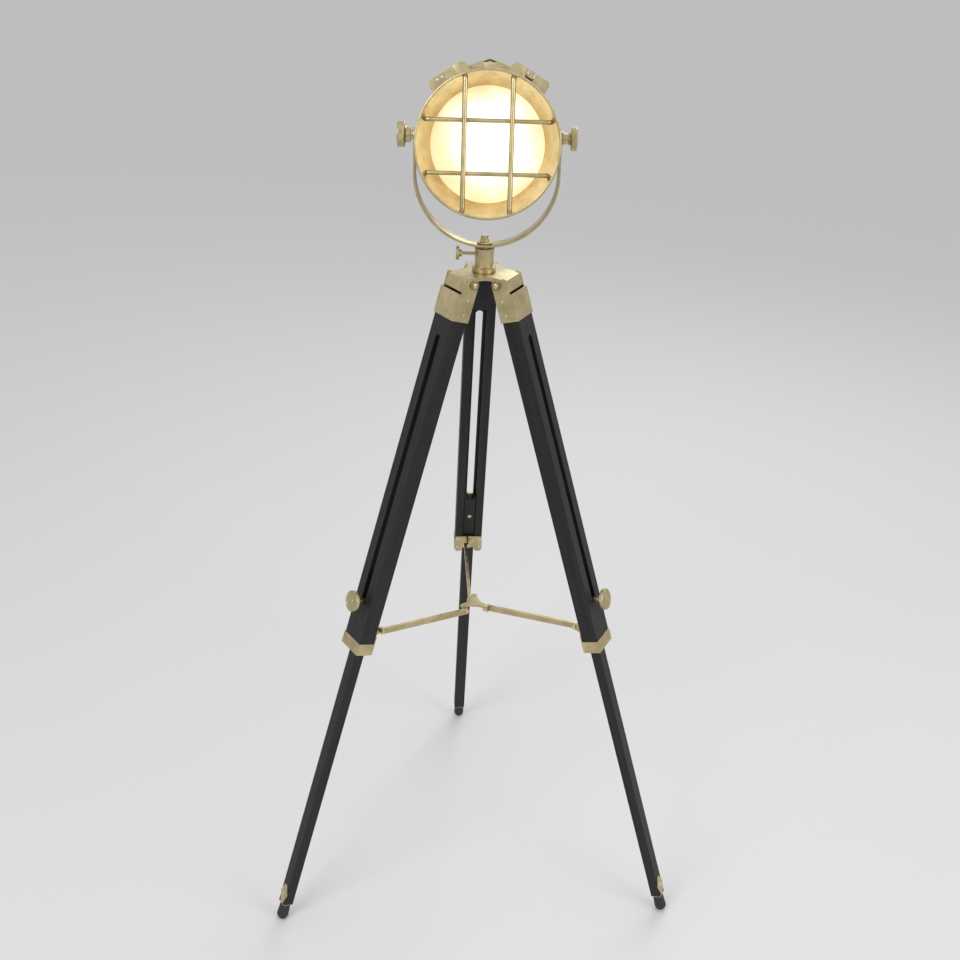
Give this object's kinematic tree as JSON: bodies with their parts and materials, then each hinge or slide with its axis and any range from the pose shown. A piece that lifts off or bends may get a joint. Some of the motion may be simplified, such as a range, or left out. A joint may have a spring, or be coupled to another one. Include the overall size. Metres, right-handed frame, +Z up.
{
  "type": "tripod searchlight floor lamp",
  "caption": "Searchlight floor lamp: round barred lamp head in a tilting U yoke on a folding tripod of telescopic black wooden legs.",
  "frame": {"origin": "on the floor, at the middle of the lamp's outer box", "axes": "+Z up, the lamp shines towards -Y, +X to the right when seen from the front"},
  "size_m": [0.7006, 0.6334, 1.4604],
  "materials": {
    "spun_metal": "satin antique-brass plating on spun aluminium",
    "cast_metal": "satin pale antique brass",
    "sheet_metal": "satin pale antique brass sheet",
    "black_wood": "black stained wood with a satin lacquer",
    "rubber": "matt black rubber",
    "gasket_rubber": "matt black rubber",
    "front_glass": "clear glass",
    "bulb_glass": "frosted warm white glass",
    "reflector_metal": "polished aluminium",
    "lamp_ceramic": "white glazed lamp holder",
    "plated_steel": "nickel plated steel",
    "gland_plastic": "black nylon"
  },
  "bodies": {
    "crown_group": {"crown": "cast_metal", "post_socket": "cast_metal", "hinge_bolts": "cast_metal"},
    "yoke": {"yoke_band": "sheet_metal", "yoke_washer": "cast_metal", "yoke_nut": "cast_metal", "swivel_stud": "plated_steel"},
    "pan_lock": {"pan_lock_screw": "cast_metal"},
    "head": {"barrel": "spun_metal", "vent_hood": "sheet_metal", "rear_cowl": "spun_metal", "cable_gland": "gland_plastic", "reflector": "reflector_metal", "lamp_holder": "lamp_ceramic", "bulb_glass": "bulb_glass", "bulb_cap": "plated_steel", "trunnion_studs": "plated_steel", "hinge_block": "sheet_metal", "clasp_bracket": "sheet_metal"},
    "front_door": {"front_ring": "spun_metal", "guard_grille": "sheet_metal", "glass_lens": "front_glass", "lens_gasket": "gasket_rubber", "hinge_leaf": "sheet_metal", "clasp_plate": "sheet_metal"},
    "clasp": {"clasp_lever": "sheet_metal"},
    "knob_left": {"tilt_knob_left": "cast_metal"},
    "knob_right": {"tilt_knob_right": "cast_metal"},
    "hub": {"brace_hub": "sheet_metal"},
    "leg_rear": {"leg_cap_rear": "sheet_metal", "upper_leg_rear": "black_wood", "collar_rear": "sheet_metal", "brace_bracket_rear": "sheet_metal"},
    "slide_rear": {"lower_leg_rear": "black_wood", "foot_plate_rear": "sheet_metal", "rubber_foot_rear": "rubber"},
    "clamp_rear": {"clamp_knob_rear": "cast_metal"},
    "brace_rear": {"brace_arm_rear": "sheet_metal"},
    "leg_left": {"leg_cap_left": "sheet_metal", "upper_leg_left": "black_wood", "collar_left": "sheet_metal", "brace_bracket_left": "sheet_metal"},
    "slide_left": {"lower_leg_left": "black_wood", "foot_plate_left": "sheet_metal", "rubber_foot_left": "rubber"},
    "clamp_left": {"clamp_knob_left": "cast_metal"},
    "brace_left": {"brace_arm_left": "sheet_metal"},
    "leg_right": {"leg_cap_right": "sheet_metal", "upper_leg_right": "black_wood", "collar_right": "sheet_metal", "brace_bracket_right": "sheet_metal"},
    "slide_right": {"lower_leg_right": "black_wood", "foot_plate_right": "sheet_metal", "rubber_foot_right": "rubber"},
    "clamp_right": {"clamp_knob_right": "cast_metal"},
    "brace_right": {"brace_arm_right": "sheet_metal"}
  },
  "joints": [
    {"name": "pan", "type": "hinge", "parent": "crown_group", "child": "yoke", "pos_m": [-0.0138, -0.08622, 1.18], "axis": [0, 0, 1], "continuous": true},
    {"name": "pan_lock_turn", "type": "hinge", "parent": "crown_group", "child": "pan_lock", "pos_m": [-0.0138, -0.08622, 1.168], "axis": [-1, 0, 0], "continuous": true},
    {"name": "tilt", "type": "hinge", "parent": "yoke", "child": "head", "pos_m": [-0.0138, -0.08622, 1.347], "axis": [-1, 0, 0], "range_deg": [-45, 60]},
    {"name": "tilt_knob_left_turn", "type": "hinge", "parent": "head", "child": "knob_left", "pos_m": [-0.1388, -0.08622, 1.347], "axis": [-1, 0, 0], "continuous": true},
    {"name": "tilt_knob_right_turn", "type": "hinge", "parent": "head", "child": "knob_right", "pos_m": [0.1112, -0.08622, 1.347], "axis": [1, 0, 0], "continuous": true},
    {"name": "door_hinge", "type": "hinge", "parent": "head", "child": "front_door", "pos_m": [-0.07447, -0.10849, 1.43945], "axis": [-0.848, -0.1102, -0.5183], "range_deg": [0, 100]},
    {"name": "clasp_lift", "type": "hinge", "parent": "head", "child": "clasp", "pos_m": [0.04414, -0.09591, 1.43609], "axis": [-0.8572, 0.1071, 0.5038], "range_deg": [0, 75]},
    {"name": "leg_rear_fold", "type": "hinge", "parent": "crown_group", "child": "leg_rear", "pos_m": [-0.01624, -0.05151, 1.1293], "axis": [-0.9975, -0.0701, 0], "range_deg": [0, 12.2]},
    {"name": "leg_rear_slide", "type": "slide", "parent": "leg_rear", "child": "slide_rear", "axis": [0.0211, -0.3008, 0.9535], "range_m": [0, 0.42]},
    {"name": "clamp_rear_turn", "type": "hinge", "parent": "slide_rear", "child": "clamp_rear", "pos_m": [-0.02993, 0.14337, 0.61109], "axis": [-0.0668, 0.9511, 0.3015], "continuous": true},
    {"name": "brace_rear_swing", "type": "hinge", "parent": "leg_rear", "child": "brace_rear", "pos_m": [-0.02708, 0.10272, 0.54261], "axis": [0.9975, 0.0701, 0], "range_deg": [0, 83.49]},
    {"name": "leg_left_fold", "type": "hinge", "parent": "crown_group", "child": "leg_left", "pos_m": [-0.04264, -0.10569, 1.1293], "axis": [0.5595, -0.8288, 0], "range_deg": [0, 12.3]},
    {"name": "leg_left_slide", "type": "slide", "parent": "leg_left", "child": "slide_left", "axis": [0.2499, 0.1687, 0.9535], "range_m": [0, 0.42]},
    {"name": "clamp_left_turn", "type": "hinge", "parent": "slide_left", "child": "clamp_left", "pos_m": [-0.20456, -0.21499, 0.61109], "axis": [-0.7903, -0.5334, 0.3015], "continuous": true},
    {"name": "brace_left_swing", "type": "hinge", "parent": "leg_left", "child": "brace_left", "pos_m": [-0.17078, -0.19219, 0.54261], "axis": [-0.5595, 0.8288, 0], "range_deg": [0, 83.49]},
    {"name": "leg_right_fold", "type": "hinge", "parent": "crown_group", "child": "leg_right", "pos_m": [0.01749, -0.10147, 1.1293], "axis": [0.4381, 0.8989, 0], "range_deg": [0, 12.3]},
    {"name": "leg_right_slide", "type": "slide", "parent": "leg_right", "child": "slide_right", "axis": [-0.2711, 0.1321, 0.9535], "range_m": [0, 0.42]},
    {"name": "clamp_right_turn", "type": "hinge", "parent": "slide_right", "child": "clamp_right", "pos_m": [0.1931, -0.18704, 0.61109], "axis": [0.8571, -0.4177, 0.3015], "continuous": true},
    {"name": "brace_right_swing", "type": "hinge", "parent": "leg_right", "child": "brace_right", "pos_m": [0.15647, -0.16919, 0.54261], "axis": [-0.4381, -0.8989, 0], "range_deg": [0, 83.49]},
    {"name": "brace_hub_slide", "type": "slide", "parent": "crown_group", "child": "hub", "axis": [0, 0, -1], "range_m": [0, 0.1692]}
  ],
  "couplings": [
    {"joint": "brace_rear_swing", "follows": "leg_rear_fold", "ratio": 6.8026},
    {"joint": "brace_left_swing", "follows": "leg_rear_fold", "ratio": 6.8026},
    {"joint": "leg_left_fold", "follows": "leg_rear_fold", "ratio": 1},
    {"joint": "brace_right_swing", "follows": "leg_rear_fold", "ratio": 6.8026},
    {"joint": "leg_right_fold", "follows": "leg_rear_fold", "ratio": 1},
    {"joint": "brace_hub_slide", "follows": "leg_rear_fold", "m_per_rad": 0.78978}
  ]
}
